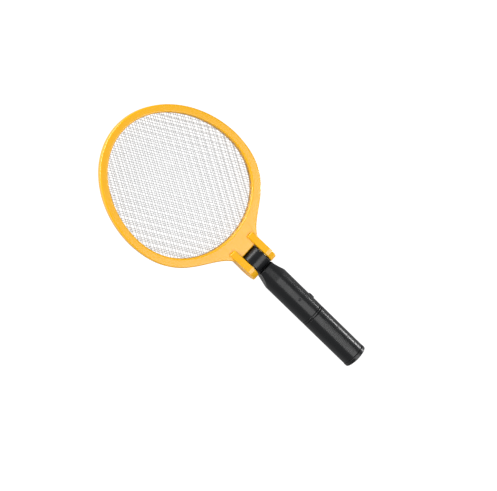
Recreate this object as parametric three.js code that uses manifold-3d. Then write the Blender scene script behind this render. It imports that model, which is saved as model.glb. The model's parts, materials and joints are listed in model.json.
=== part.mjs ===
// Electric fly swatter: a racket head with three wire grids, hinged to a round battery handle.
// Millimetres, +Z up out of the racket's face, +Y from the handle towards the head.
// Everything is modelled about the hinge axis, which lies along X through y = 0, z = 0.
// The last lines lift the assembly so that its lowest point is z = 0 and centre it along Y.

import * as THREE from "three";
import { mergeVertices } from "three/addons/utils/BufferGeometryUtils.js";
import Module from "manifold-3d";

const wasm = await Module();
wasm.setup();

// ---------------------------------------------------------------- driving dimensions

// head
const OPENING_HALF_WIDTH = 93.7;
const OPENING_FAR_REACH = 107.8; // from the oval's centre to its far end
const OPENING_NEAR_REACH = 99; // and to its end near the handle
const OPENING_SKEW = 0.062; // how much wider the near end is
const OPENING_FULLNESS = 0.021; // how much fuller than an ellipse both ends are
const OPENING_CENTRE = 147; // from the hinge axis
const RIM_WIDTH = 11;
const HEAD_THICKNESS = 18;
const RIM_EDGE = 2.2; // rounding of the rim's long edges
const RIM_SEGMENTS = 32;
const FLARE_START = THREE.MathUtils.degToRad(-10); // where the neck plate leaves the oval rim
const FLARE_END_ANGLE = THREE.MathUtils.degToRad(67); // its slope where it meets the ears
const FLARE_REACH = 78; // how far its curve keeps the rim's direction
const NECK_REACH = 37; // and how far it keeps its slope at the ears
const WALL = 2.1;
const SEAT_MARGIN = RIM_WIDTH - WALL; // the rim is hollow as far as its outer wall
const SEAT_HALF_DEPTH = 4.2;

// grids
const GRID_MARGIN = 3.6;
const GRID_RIM_WIDTH = 2.2;
const GRID_SPACING = 3; // from one grid's plane to the next
const WIRE_WIDTH = 1;
const WIRE_THICKNESS = 0.7;
const WIRE_LIFT = 0.25; // the two families of wires lie this far above and below their grid's plane
const GRID_RIM_THICKNESS = 1.6;
const WIRE_PITCH = 42.4; // along X, from one parallel wire to the next
const WIRE_ANGLE = THREE.MathUtils.degToRad(60); // between a wire and the hinge axis
const SPACER_INNER_MARGIN = 0.8;
const SPACER_THICKNESS = 0.8;

// hinge
const EAR_GAP = 25;
const EAR_THICKNESS = 10;
const EAR_RADIUS = 17;
const EAR_REACH = 32.8; // how far the ears run towards the head
const EAR_END_HEIGHT = 13.6;
const EAR_EDGE = 0.9;
const PLATE_START = 17.3; // the neck plate's edge, just clear of the barrel
const BOLT_RADIUS = 3;
const BOLT_HEAD_RADIUS = 5;
const BOLT_HEAD_HEIGHT = 3.5;
const COUNTERBORE_RADIUS = 6.2;
const COUNTERBORE_DEPTH = 5.6;
const CAP_THICKNESS = 1.5;
const BARREL_RADIUS = 16.5;
const BARREL_HALF_WIDTH = 11.3;
const BARREL_EDGE = 0.8;

// handle, as distances from the hinge axis towards its free end
const HANDLE_RADIUS = 18;
const NECK_START = 16.2;
const NECK_RADIUS = 16.6;
const NECK_HALF_WIDTH = 11.7;
const NECK_STRAIGHT_END = 19.5;
const SHOULDER = 38.6;
const WEB_HALF_HEIGHT = 7.5;
const HOUSING_END = 108.7;
const COLLAR_LENGTH = 3.2;
const TUBE_START = 112.5;
const TUBE_END = 192;
const HANDLE_END = 198.4;
const CAP_RADIUS = 18.3;
const CAP_EDGE = 2.2;
const HOUSING_BORE = 15.8;
const SOCKET_BORE = 16.3;
const SPIGOT_RADIUS = 16;
const SPIGOT_START = 102.6;
const TUBE_BORE = 14.9;
const CAVITY_START = 37;

// power button, on the +X side, and indicator light, on top
const BUTTON_CENTRE = 92;
const BUTTON_RADIUS = 5;
const BUTTON_FACE = 19.5;
const BUTTON_TRAVEL = 1.6;
const LIGHT_CENTRE = 79.8;
const LIGHT_RADIUS = 1.7;

// batteries and their contacts
const CELL_RADIUS = 7.1;
const CELL_LENGTH = 49.5;
const CELL_NUB_RADIUS = 2.6;
const CELL_NUB_HEIGHT = 1;
const CELL_OFFSET = 7.3;
const CELL_START = 108.9;

const GAP = 0.3; // between pieces that touch
const BORE_PLAY = 0.3; // round a bolt or screw
const SMALL_ROUND = 8; // sides of a screw
const ROUND = 16; // sides of a small round piece
const LARGE_ROUND = 24; // sides of the handle

// ---------------------------------------------------------------- materials

function finish(color, roughness, metalness) {
  return new THREE.MeshStandardMaterial({ color, roughness, metalness });
}

const ORANGE = () => finish(0xf7a823, 0.35, 0);
const BLACK = () => finish(0x17181a, 0.28, 0);
const STEEL = () => finish(0xc9ccce, 0.3, 1);
const BRASS = () => finish(0xc9a24a, 0.35, 1);
const INSULATOR = () => finish(0xd8d2c0, 0.6, 0);
const RUBBER = () => finish(0x1a1a1a, 0.9, 0);

// ---------------------------------------------------------------- solid tools

const ACROSS = new THREE.Matrix4().makeBasis(
  new THREE.Vector3(0, 1, 0),
  new THREE.Vector3(0, 0, 1),
  new THREE.Vector3(1, 0, 0),
);

// Turns a closed geometry into a solid: shared corners merged, slivers at a lathe's poles dropped.
function solidFrom(geometry) {
  geometry.deleteAttribute("normal");
  geometry.deleteAttribute("uv");
  const merged = mergeVertices(geometry, 1e-4);
  const corners = merged.index.array;
  const kept = [];
  for (let i = 0; i < corners.length; i += 3) {
    const [a, b, c] = corners.slice(i, i + 3);
    if (a !== b && b !== c && c !== a) kept.push(a, b, c);
  }
  const vertProperties = new Float32Array(merged.attributes.position.array);
  const triVerts = new Uint32Array(kept);
  return new wasm.Manifold(new wasm.Mesh({ numProp: 3, vertProperties, triVerts }));
}

function geometryFrom(solid) {
  const { vertProperties, triVerts } = solid.getMesh();
  const geometry = new THREE.BufferGeometry();
  geometry.setAttribute("position", new THREE.BufferAttribute(vertProperties, 3));
  geometry.setIndex(new THREE.BufferAttribute(triVerts, 1));
  const faceted = geometry.toNonIndexed();
  faceted.computeVertexNormals();
  return faceted;
}

function join(...solids) {
  return solids.reduce((whole, solid) => whole.add(solid));
}

function cut(solid, ...tools) {
  return tools.reduce((rest, tool) => rest.subtract(tool), solid);
}

// A box given by its lowest and highest corner.
function block(low, high) {
  const [x, y, z] = high.map((value, i) => value - low[i]);
  const geometry = new THREE.BoxGeometry(x, y, z);
  geometry.translate(...high.map((value, i) => (value + low[i]) / 2));
  return solidFrom(geometry);
}

// A round rod from one coordinate to another along an axis, through the point `at`.
function rod(axis, radius, from, to, at = [0, 0, 0], sides = ROUND) {
  const geometry = new THREE.CylinderGeometry(radius, radius, to - from, sides);
  geometry.translate(0, (from + to) / 2, 0);
  if (axis === "x") geometry.rotateZ(-Math.PI / 2);
  if (axis === "z") geometry.rotateX(Math.PI / 2);
  geometry.translate(...at);
  return solidFrom(geometry);
}

// A piece turned about an axis. The profile is [radius, place] pairs, from low to high places.
function turned(axis, profile, at = [0, 0, 0], sides = ROUND) {
  const points = profile.map(([radius, place]) => new THREE.Vector2(radius, place));
  const geometry = new THREE.LatheGeometry(points, sides);
  if (axis === "x") geometry.rotateZ(-Math.PI / 2);
  if (axis === "z") geometry.rotateX(Math.PI / 2);
  geometry.translate(...at);
  return solidFrom(geometry);
}

// A ring turned about the handle's length, between two radii and two distances from the hinge.
function handleRing(inner, outer, near, far, sides = LARGE_ROUND) {
  const profile = [[inner, -far], [outer, -far], [outer, -near], [inner, -near], [inner, -far]];
  return turned("y", profile, [0, 0, 0], sides);
}

// A flat shape in the XY plane made `from` to `to` thick, its long edges rounded by `edge`.
function slab(shape, from, to, edge = 0) {
  const geometry = new THREE.ExtrudeGeometry(shape, {
    depth: to - from - 2 * edge,
    bevelEnabled: edge > 0,
    bevelSize: edge,
    bevelThickness: edge,
    bevelOffset: -edge,
    bevelSegments: 1,
    curveSegments: 6,
  });
  geometry.translate(0, 0, from + edge);
  return geometry;
}

// The same for a shape whose flat coordinates are Y and Z: it is made thick along X.
function slabAcross(shape, from, to, edge = 0) {
  return solidFrom(slab(shape, from, to, edge).applyMatrix4(ACROSS));
}

function polygon(points) {
  return new THREE.Shape(points.map(([x, y]) => new THREE.Vector2(x, y)));
}

const model = new THREE.Group();

function addPart(name, solid, material) {
  const mesh = new THREE.Mesh(geometryFrom(solid), material);
  mesh.name = name;
  model.add(mesh);
}

// ---------------------------------------------------------------- the oval of the head

// A point on the oval opening, moved outwards by `margin`. Angle 0 is +X and a quarter turn is the far end.
function ovalPoint(angle, margin) {
  const sin = Math.sin(angle);
  const cos = Math.cos(angle);
  const widening = 1 - OPENING_SKEW * sin + OPENING_FULLNESS * sin * sin;
  const wideningSlope = (2 * OPENING_FULLNESS * sin - OPENING_SKEW) * cos;
  const slopeX = OPENING_HALF_WIDTH * (cos * wideningSlope - sin * widening);
  const reach = sin < 0 ? OPENING_NEAR_REACH : OPENING_FAR_REACH;
  const slopeY = reach * cos;
  const length = Math.hypot(slopeX, slopeY);
  return new THREE.Vector2(
    OPENING_HALF_WIDTH * cos * widening + (margin * slopeY) / length,
    OPENING_CENTRE + reach * sin - (margin * slopeX) / length,
  );
}

function ovalPoints(margin, start, end, count) {
  return Array.from({ length: count + 1 }, (_, i) => ovalPoint(start + ((end - start) * i) / count, margin));
}

function oval(margin) {
  const points = ovalPoints(margin, 0, 2 * Math.PI, RIM_SEGMENTS);
  points.pop();
  return new THREE.Shape(points);
}

function ovalSlab(margin, from, to) {
  return solidFrom(slab(oval(margin), from, to));
}

// A flat oval ring between two margins.
function ovalRing(inner, outer, from, to) {
  const shape = oval(outer);
  shape.holes.push(oval(inner));
  return solidFrom(slab(shape, from, to));
}

// ---------------------------------------------------------------- head

// Outline of the rim and neck plate: the oval, then a hollow flare down to the ears on each side.
function headOutline() {
  const turn = Math.PI;
  const points = ovalPoints(RIM_WIDTH, FLARE_START, turn - FLARE_START, RIM_SEGMENTS);
  const shape = new THREE.Shape(points);
  const corner = EAR_GAP / 2 + EAR_THICKNESS - EAR_EDGE;
  const first = points[0];
  const last = points[points.length - 1];
  const before = points[points.length - 2];
  const reach = FLARE_REACH / last.distanceTo(before);
  const leaveX = (last.x - before.x) * reach;
  const leaveY = (last.y - before.y) * reach;
  const rise = NECK_REACH * Math.sin(FLARE_END_ANGLE);
  const spread = NECK_REACH * Math.cos(FLARE_END_ANGLE);
  const left = [last.x + leaveX, last.y + leaveY, -corner - spread, PLATE_START + rise];
  const right = [corner + spread, PLATE_START + rise, first.x - leaveX, first.y + leaveY];
  shape.bezierCurveTo(...left, -corner, PLATE_START);
  shape.lineTo(corner, PLATE_START);
  shape.bezierCurveTo(...right, first.x, first.y);
  return shape;
}

// One ear's side view: round about the hinge, with a flat that falls gently towards the head.
function earShape() {
  const shape = new THREE.Shape();
  shape.moveTo(EAR_REACH, -EAR_END_HEIGHT);
  shape.lineTo(EAR_REACH, EAR_END_HEIGHT);
  shape.lineTo(0, EAR_RADIUS);
  shape.absarc(0, 0, EAR_RADIUS, Math.PI / 2, (3 * Math.PI) / 2, false);
  return shape;
}

function ears() {
  const inner = EAR_GAP / 2;
  const outer = inner + EAR_THICKNESS;
  const right = slabAcross(earShape(), inner, outer, EAR_EDGE);
  const left = slabAcross(earShape(), -outer, -inner, EAR_EDGE);
  return join(right, left);
}

// The screws' bosses stand in the rim's hollow, just outside the grids.
const SCREW_MARGIN = 6.9;
const BOSS_RADIUS = 2.9;
const FRAME_SCREW_ANGLES = [-30, 20, 65, 115, 160, 210].map(THREE.MathUtils.degToRad);

const SCREW_RADIUS = 1.1;
const SCREW_HEAD_RADIUS = 2;
const SCREW_HEAD_HEIGHT = 1.8;
const SCREW_SOCKET_RADIUS = 0.9;
const SCREW_SOCKET_DEPTH = 1;

function frameScrewPlaces() {
  return FRAME_SCREW_ANGLES.map((angle) => ovalPoint(angle, SCREW_MARGIN));
}

function rimHollow() {
  const hollow = ovalSlab(SEAT_MARGIN, -SEAT_HALF_DEPTH, SEAT_HALF_DEPTH);
  const reach = HEAD_THICKNESS / 2;
  const bosses = frameScrewPlaces().map(({ x, y }) =>
    rod("z", BOSS_RADIUS, -reach, reach, [x, y, 0], SMALL_ROUND),
  );
  return cut(hollow, ...bosses);
}

// The neck plate's pocket between the ears, and the groove that each grid lead lies in.
const POCKET_HALF_WIDTH = 10;
const POCKET_HALF_DEPTH = HEAD_THICKNESS / 2 - WALL;
const POCKET_END = 36;
const LEAD_X = 15.5;
const LEAD_WIDTH = 2;
const LEAD_THICKNESS = 0.8;
const LEAD_START = 9;
const LEAD_END = 48;

function leadShape(side, play) {
  const inner = EAR_GAP / 2 - (play > 0 ? 1 : -GAP);
  const points = [
    [inner, LEAD_START - play],
    [LEAD_X + LEAD_WIDTH + play, LEAD_START - play],
    [LEAD_X + LEAD_WIDTH + play, LEAD_END + play],
    [LEAD_X - play, LEAD_END + play],
    [LEAD_X - play, LEAD_START + LEAD_WIDTH + play],
    [inner, LEAD_START + LEAD_WIDTH + play],
  ].map(([x, y]) => [side * x, y]);
  return polygon(side > 0 ? points : points.reverse());
}

function leadGroove(side) {
  const halfDepth = LEAD_THICKNESS / 2 + GAP;
  return solidFrom(slab(leadShape(side, GAP), -halfDepth, halfDepth));
}

function boltBore(x1, x2) {
  return rod("x", BOLT_RADIUS + BORE_PLAY, x1, x2);
}

function earCounterbores() {
  const outer = EAR_GAP / 2 + EAR_THICKNESS;
  const floor = outer - COUNTERBORE_DEPTH;
  return [
    rod("x", COUNTERBORE_RADIUS, floor, outer + 1),
    rod("x", COUNTERBORE_RADIUS, -outer - 1, -floor),
  ];
}

// The head's whole casing, before it is parted along z = 0 into its two halves.
function headCasing() {
  const half = HEAD_THICKNESS / 2;
  const outline = headOutline();
  outline.holes.push(oval(0));
  const plate = solidFrom(slab(outline, -half, half, RIM_EDGE));
  const outer = EAR_GAP / 2 + EAR_THICKNESS;
  const pocket = block(
    [-POCKET_HALF_WIDTH, PLATE_START + WALL, -POCKET_HALF_DEPTH],
    [POCKET_HALF_WIDTH, POCKET_END, POCKET_HALF_DEPTH],
  );
  return cut(
    join(plate, ears()),
    rimHollow(),
    pocket,
    leadGroove(1),
    leadGroove(-1),
    boltBore(-outer - 1, outer + 1),
    ...earCounterbores(),
  );
}

const SCREW_SEAT = -5.4; // height of the frame screws' seats in the rear half
const SCREW_TIP = 5.6;

function buildHeadCasing() {
  const casing = headCasing();
  const far = OPENING_CENTRE * 2;
  const wide = OPENING_HALF_WIDTH * 2;
  const upper = block([-wide, -far, GAP / 2], [wide, far, far]);
  const lower = block([-wide, -far, -far], [wide, far, -GAP / 2]);
  const holes = frameScrewPlaces().map(({ x, y }) =>
    rod("z", SCREW_RADIUS + BORE_PLAY, -HEAD_THICKNESS, SCREW_TIP + GAP, [x, y, 0], SMALL_ROUND),
  );
  const seats = frameScrewPlaces().map(({ x, y }) =>
    rod("z", SCREW_HEAD_RADIUS + BORE_PLAY, -HEAD_THICKNESS, SCREW_SEAT, [x, y, 0], SMALL_ROUND),
  );
  addPart("front_frame", cut(casing, ...holes).intersect(upper), ORANGE());
  addPart("rear_frame", cut(casing, ...holes, ...seats).intersect(lower), ORANGE());
}

// A screw pointing up, its head's underside at height `seat`, with a plain socket in the head.
function screw(seat, tip, at, headRadius = SCREW_HEAD_RADIUS) {
  const base = seat - GAP - SCREW_HEAD_HEIGHT;
  const profile = [
    [0, base + SCREW_SOCKET_DEPTH],
    [SCREW_SOCKET_RADIUS, base + SCREW_SOCKET_DEPTH],
    [SCREW_SOCKET_RADIUS, base],
    [headRadius, base],
    [headRadius, base + SCREW_HEAD_HEIGHT],
    [SCREW_RADIUS, base + SCREW_HEAD_HEIGHT],
    [SCREW_RADIUS, tip - SCREW_RADIUS],
    [0, tip],
  ];
  return turned("z", profile, at, SMALL_ROUND);
}

function buildFrameScrews() {
  frameScrewPlaces().forEach(({ x, y }, i) => {
    addPart("frame_screw_" + (i + 1), screw(SCREW_SEAT, SCREW_TIP, [x, y, 0]), STEEL());
  });
}

// A grid: two families of straight wires that cross in diamonds, one on the other, in a flat oval rim.
function grid(height, shift) {
  const length = 3 * OPENING_FAR_REACH;
  const reach = OPENING_HALF_WIDTH + OPENING_FAR_REACH / Math.tan(WIRE_ANGLE);
  const count = Math.ceil(reach / WIRE_PITCH);
  const wires = [];
  for (const lean of [1, -1]) {
    for (let i = -count; i <= count; i++) {
      const geometry = new THREE.BoxGeometry(length, WIRE_WIDTH, WIRE_THICKNESS);
      geometry.rotateZ(lean * WIRE_ANGLE);
      geometry.translate((i + shift) * WIRE_PITCH, OPENING_CENTRE, height + lean * WIRE_LIFT);
      wires.push(solidFrom(geometry));
    }
  }
  const half = GRID_RIM_THICKNESS / 2;
  const middleOfRim = GRID_MARGIN - GRID_RIM_WIDTH / 2;
  const clipped = join(...wires).intersect(ovalSlab(middleOfRim, height - half, height + half));
  return clipped.add(ovalRing(GRID_MARGIN - GRID_RIM_WIDTH, GRID_MARGIN, height - half, height + half));
}

function buildGrids() {
  addPart("front_grid", grid(GRID_SPACING, 0), STEEL());
  addPart("inner_grid", grid(0, 0.45), STEEL());
  addPart("rear_grid", grid(-GRID_SPACING, 0.2), STEEL());
  const middle = GRID_SPACING / 2;
  const half = SPACER_THICKNESS / 2;
  for (const [name, height] of [["front_spacer", middle], ["rear_spacer", -middle]]) {
    addPart(name, ovalRing(SPACER_INNER_MARGIN, GRID_MARGIN, height - half, height + half), INSULATOR());
  }
}

// The two leads run in their grooves from the slip rings to just short of the grids' rims.
function buildHeadLeads() {
  const half = LEAD_THICKNESS / 2;
  const grids = ovalSlab(GRID_MARGIN + GAP, -half - 1, half + 1);
  for (const [name, side] of [["head_lead_right", 1], ["head_lead_left", -1]]) {
    addPart(name, cut(solidFrom(slab(leadShape(side, 0), -half, half)), grids), BRASS());
  }
}

// ---------------------------------------------------------------- hinge

function buildHingePins() {
  const outer = EAR_GAP / 2 + EAR_THICKNESS;
  const seat = outer - COUNTERBORE_DEPTH + GAP;
  const boltEnd = seat + BOLT_HEAD_HEIGHT;
  const head = rod("x", BOLT_HEAD_RADIUS, -boltEnd, -seat, [0, 0, 0], 6);
  const shank = rod("x", BOLT_RADIUS, -seat - 1, seat + BOLT_HEAD_HEIGHT);
  addPart("hinge_bolt", join(head, shank), STEEL());
  const nut = rod("x", BOLT_HEAD_RADIUS, seat, boltEnd - 1, [0, 0, 0], 6);
  addPart("hinge_nut", cut(nut, boltBore(seat - 1, boltEnd)), STEEL());
  const face = outer - GAP;
  const radius = COUNTERBORE_RADIUS - GAP;
  const cap = [
    [0, face - CAP_THICKNESS],
    [radius, face - CAP_THICKNESS],
    [radius, face - 0.5],
    [radius - 0.6, face],
    [0, face],
  ];
  addPart("ear_cap_right", turned("x", cap), ORANGE());
  const mirrored = cap.map(([r, place]) => [r, -place]).reverse();
  addPart("ear_cap_left", turned("x", mirrored), ORANGE());
}

// Brass slip rings on the barrel's ends carry the high voltage across the hinge.
const SLIP_RING_RADIUS = 12;
const SLIP_RING_BORE = 4.2;

function buildSlipRings() {
  const near = BARREL_HALF_WIDTH + GAP;
  const far = EAR_GAP / 2 - GAP;
  for (const [name, from, to] of [["slip_ring_right", near, far], ["slip_ring_left", -far, -near]]) {
    const ring = cut(rod("x", SLIP_RING_RADIUS, from, to), rod("x", SLIP_RING_BORE, from - 1, to + 1));
    addPart(name, ring, BRASS());
  }
}

// ---------------------------------------------------------------- handle housing

function barrel() {
  const end = BARREL_HALF_WIDTH;
  const profile = [
    [0, -end],
    [BARREL_RADIUS - BARREL_EDGE, -end],
    [BARREL_RADIUS, -end + BARREL_EDGE],
    [BARREL_RADIUS, end - BARREL_EDGE],
    [BARREL_RADIUS - BARREL_EDGE, end],
    [0, end],
  ];
  return turned("x", profile, [0, 0, 0], LARGE_ROUND);
}

// Seen from above, the round body is pared down to the neck by a slightly hollow cut on each side.
function handlePlan() {
  const wide = HANDLE_RADIUS + 1;
  const shape = new THREE.Shape();
  shape.moveTo(-wide, -HANDLE_END);
  shape.lineTo(wide, -HANDLE_END);
  shape.lineTo(wide, -SHOULDER - 0.5);
  shape.lineTo(HANDLE_RADIUS, -SHOULDER);
  const midX = NECK_HALF_WIDTH + 2.2;
  const midY = -(NECK_STRAIGHT_END + SHOULDER) / 2;
  shape.quadraticCurveTo(midX, midY, NECK_HALF_WIDTH, -NECK_STRAIGHT_END);
  shape.lineTo(NECK_HALF_WIDTH, 0);
  shape.lineTo(-NECK_HALF_WIDTH, 0);
  shape.lineTo(-NECK_HALF_WIDTH, -NECK_STRAIGHT_END);
  shape.quadraticCurveTo(-midX, midY, -HANDLE_RADIUS, -SHOULDER);
  shape.lineTo(-wide, -SHOULDER - 0.5);
  return shape;
}

// Slots in the barrel and neck for the leads that climb from the circuit to the slip rings.
const CLIMB_X = 6.6;
const CLIMB_END = 9;
const WIRE_LEAD_RADIUS = 0.8;
const WIRE_SLOT = 1.3;

function leadSlots(side) {
  const reachX = (x) => side * x;
  const span = (a, b) => [Math.min(reachX(a), reachX(b)), Math.max(reachX(a), reachX(b))];
  const [climbLow, climbHigh] = span(CLIMB_X - WIRE_SLOT, CLIMB_X + WIRE_SLOT);
  const [outLow, outHigh] = span(CLIMB_X - WIRE_SLOT, BARREL_HALF_WIDTH + 1);
  return [
    block([climbLow, -CAVITY_START - 1, -WIRE_SLOT], [climbHigh, -CLIMB_END + WIRE_SLOT, WIRE_SLOT]),
    block([outLow, -CLIMB_END - WIRE_SLOT, -WIRE_SLOT], [outHigh, -CLIMB_END + WIRE_SLOT, WIRE_SLOT]),
  ];
}

const HOUSING_SCREWS = [29.5, 45.5, 98]; // distances from the hinge axis
const HOUSING_SCREW_SEAT = -8.5;
const HOUSING_SCREW_TIP = 8.5;
const HOUSING_BOSS_RADIUS = 3.6;
const HOUSING_HEAD_RADIUS = 2.6;

function housingCasing() {
  const body = turned(
    "y",
    [
      [0, -HOUSING_END],
      [HANDLE_RADIUS - 0.4, -HOUSING_END],
      [HANDLE_RADIUS, -HOUSING_END + 0.4],
      [HANDLE_RADIUS, -SHOULDER],
      [NECK_RADIUS, -NECK_START - 0.5],
      [NECK_RADIUS - 0.5, -NECK_START],
      [0, -NECK_START],
    ],
    [0, 0, 0],
    LARGE_ROUND,
  ).intersect(solidFrom(slab(handlePlan(), -HANDLE_RADIUS - 1, HANDLE_RADIUS + 1)));
  const web = block(
    [-BARREL_HALF_WIDTH, -NECK_START - 1, -WEB_HALF_HEIGHT],
    [BARREL_HALF_WIDTH, 0, WEB_HALF_HEIGHT],
  );
  const bosses = HOUSING_SCREWS.map((y) =>
    rod("z", HOUSING_BOSS_RADIUS, -HANDLE_RADIUS, HANDLE_RADIUS, [0, -y, 0], SMALL_ROUND),
  );
  const cavity = rod("y", HOUSING_BORE, -SPIGOT_START - 1, -CAVITY_START, [0, 0, 0], LARGE_ROUND);
  const socket = rod("y", SOCKET_BORE, -HOUSING_END - 1, -SPIGOT_START + GAP, [0, 0, 0], LARGE_ROUND);
  return cut(
    join(body, web, barrel()),
    cut(cavity, ...bosses),
    socket,
    boltBore(-EAR_GAP, EAR_GAP),
    ...leadSlots(1),
    ...leadSlots(-1),
    rod("x", BUTTON_RADIUS + GAP, 0, HANDLE_RADIUS + 1, [0, -BUTTON_CENTRE, 0]),
  );
}

function buildHousing() {
  const casing = housingCasing();
  const far = HANDLE_END + EAR_RADIUS;
  const upper = block([-far, -far, GAP / 2], [far, far, far]);
  const lower = block([-far, -far, -far], [far, far, -GAP / 2]);
  const holes = HOUSING_SCREWS.map((y) =>
    rod("z", SCREW_RADIUS + BORE_PLAY, -HANDLE_RADIUS - 1, HOUSING_SCREW_TIP + GAP, [0, -y, 0], SMALL_ROUND),
  );
  const seats = HOUSING_SCREWS.map((y) =>
    rod("z", HOUSING_HEAD_RADIUS + BORE_PLAY, -HANDLE_RADIUS - 1, HOUSING_SCREW_SEAT, [0, -y, 0], SMALL_ROUND),
  );
  const window = rod("z", LIGHT_RADIUS + GAP, 0, HANDLE_RADIUS + 1, [0, -LIGHT_CENTRE, 0], SMALL_ROUND);
  addPart("front_housing", cut(casing, ...holes, window).intersect(upper), BLACK());
  addPart("rear_housing", cut(casing, ...holes, ...seats).intersect(lower), BLACK());
  HOUSING_SCREWS.forEach((y, i) => {
    const place = [0, -y, 0];
    const solid = screw(HOUSING_SCREW_SEAT, HOUSING_SCREW_TIP, place, HOUSING_HEAD_RADIUS);
    addPart("housing_screw_" + (i + 1), solid, STEEL());
  });
}

// ---------------------------------------------------------------- circuit and button

const BOARD_HALF_WIDTH = 10;
const BOARD_START = 51;
const BOARD_END = 93.6;
const BOARD_TOP = -3.8;
const BOARD_THICKNESS = 1.6;
const ON_BOARD = BOARD_TOP + GAP;

function buildCircuit() {
  const board = block(
    [-BOARD_HALF_WIDTH, -BOARD_END, BOARD_TOP - BOARD_THICKNESS],
    [BOARD_HALF_WIDTH, -BOARD_START, BOARD_TOP],
  );
  addPart("circuit_board", board, finish(0x2f7a45, 0.5, 0));
  const core = block([-8, -72, ON_BOARD], [8, -56, 8.5]);
  const legs = [block([-9, -67, ON_BOARD + 2], [-6, -61, 6]), block([6, -67, ON_BOARD + 2], [9, -61, 6])];
  addPart("transformer", cut(core, ...legs), finish(0xd9b23a, 0.5, 0));
  addPart("storage_capacitor", block([-9, -92.9, ON_BOARD], [2.5, -86, 8.5]), finish(0xa33a22, 0.35, 0));
  addPart("driver_transistor", block([-3, -77, ON_BOARD], [3, -73.6, 4.5]), BLACK());
  const stem = LIGHT_RADIUS;
  const pipe = [
    [0, ON_BOARD],
    [stem, ON_BOARD],
    [stem, HANDLE_RADIUS - 0.6],
    [stem * 0.7, HANDLE_RADIUS + 0.05],
    [0, HANDLE_RADIUS + 0.25],
  ];
  addPart("indicator_light", turned("z", pipe, [0, -LIGHT_CENTRE, 0], SMALL_ROUND), finish(0x3b3f42, 0.15, 0));
}

const SWITCH_BACK = 4;
const SWITCH_FACE = 9.2;
const SWITCH_HALF_WIDTH = 3;
const SWITCH_TOP = 3.2;
const PLUNGER_RADIUS = 1.5;
const FLANGE_BACK = 12.2;
const FLANGE_FRONT = 13.8;
const FLANGE_RADIUS = 6.2;

function buildButton() {
  const body = block(
    [SWITCH_BACK, -BUTTON_CENTRE - SWITCH_HALF_WIDTH, ON_BOARD],
    [SWITCH_FACE, -BUTTON_CENTRE + SWITCH_HALF_WIDTH, SWITCH_TOP],
  );
  const centre = [0, -BUTTON_CENTRE, 0];
  const well = rod("x", PLUNGER_RADIUS + GAP, SWITCH_BACK + 2, SWITCH_FACE + 1, centre, SMALL_ROUND);
  addPart("tact_switch", cut(body, well), finish(0x2a2a2a, 0.5, 0));
  const start = SWITCH_BACK + 2 + BUTTON_TRAVEL + GAP;
  const plunger = rod("x", PLUNGER_RADIUS, start, FLANGE_BACK - GAP, centre, SMALL_ROUND);
  addPart("switch_plunger", plunger, finish(0xd8d8d4, 0.5, 0));
  const button = [
    [0, FLANGE_BACK],
    [FLANGE_RADIUS, FLANGE_BACK],
    [FLANGE_RADIUS, FLANGE_FRONT],
    [BUTTON_RADIUS, FLANGE_FRONT],
    [BUTTON_RADIUS, BUTTON_FACE - 1.1],
    [BUTTON_RADIUS - 0.8, BUTTON_FACE - 0.35],
    [0, BUTTON_FACE],
  ];
  addPart("push_button", turned("x", button, centre), finish(0x232426, 0.4, 0));
}

// A lead of round wire from the board up the neck and out to a slip ring.
function buildHandleLeads() {
  for (const [name, side] of [["handle_lead_right", 1], ["handle_lead_left", -1]]) {
    const route = new THREE.CurvePath();
    const bend = 3;
    const x = side * CLIMB_X;
    const top = -CLIMB_END;
    const point = (a, b) => new THREE.Vector3(a, b, 0);
    const turnStart = point(x, top - bend);
    const turnEnd = point(x + side * bend * 0.8, top);
    route.add(new THREE.LineCurve3(point(x, -BOARD_START + 1), turnStart));
    route.add(new THREE.QuadraticBezierCurve3(turnStart, point(x, top), turnEnd));
    route.add(new THREE.LineCurve3(turnEnd, point(side * (BARREL_HALF_WIDTH - 0.1), top)));
    const section = new THREE.Shape();
    section.absarc(0, 0, WIRE_LEAD_RADIUS, 0, 2 * Math.PI);
    const settings = { extrudePath: route, steps: 12, curveSegments: 3, bevelEnabled: false };
    const lead = new THREE.ExtrudeGeometry(section, settings);
    addPart(name, solidFrom(lead), side > 0 ? finish(0xb3261e, 0.6, 0) : finish(0x222222, 0.6, 0));
  }
}

// ---------------------------------------------------------------- grip and batteries

function buildGrip() {
  const collarStart = HOUSING_END + GAP;
  const collarEnd = collarStart + COLLAR_LENGTH - GAP;
  addPart("collar_ring", handleRing(SPIGOT_RADIUS + GAP, HANDLE_RADIUS, collarStart, collarEnd), BLACK());
  const bayonet = SOCKET_BORE + GAP;
  const skirtStart = TUBE_END - 8;
  const tube = turned(
    "y",
    [
      [bayonet, -TUBE_END],
      [HANDLE_RADIUS - 0.4, -TUBE_END],
      [HANDLE_RADIUS, -TUBE_END + 0.4],
      [HANDLE_RADIUS, -TUBE_START - 0.4],
      [HANDLE_RADIUS - 0.4, -TUBE_START],
      [SPIGOT_RADIUS, -TUBE_START],
      [SPIGOT_RADIUS, -SPIGOT_START],
      [TUBE_BORE, -SPIGOT_START],
      [TUBE_BORE, -skirtStart],
      [bayonet, -skirtStart],
      [bayonet, -TUBE_END],
    ],
    [0, 0, 0],
    LARGE_ROUND,
  );
  addPart("grip_tube", tube, BLACK());
}

// A cell from its flat end to its nub, the nub pointing to the hinge when `side` is 1.
function cell(side) {
  const end = CELL_LENGTH / 2;
  const rim = 0.6;
  const profile = [
    [0, -end],
    [CELL_RADIUS - rim, -end],
    [CELL_RADIUS, rim - end],
    [CELL_RADIUS, end - rim],
    [CELL_RADIUS - rim, end],
    [CELL_NUB_RADIUS, end],
    [CELL_NUB_RADIUS, end + CELL_NUB_HEIGHT],
    [0, end + CELL_NUB_HEIGHT],
  ];
  const flipped = profile.map(([r, place]) => [r, -place]).reverse();
  return turned("y", side > 0 ? profile : flipped, [-side * CELL_OFFSET, -CELL_START - end, 0]);
}

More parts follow.
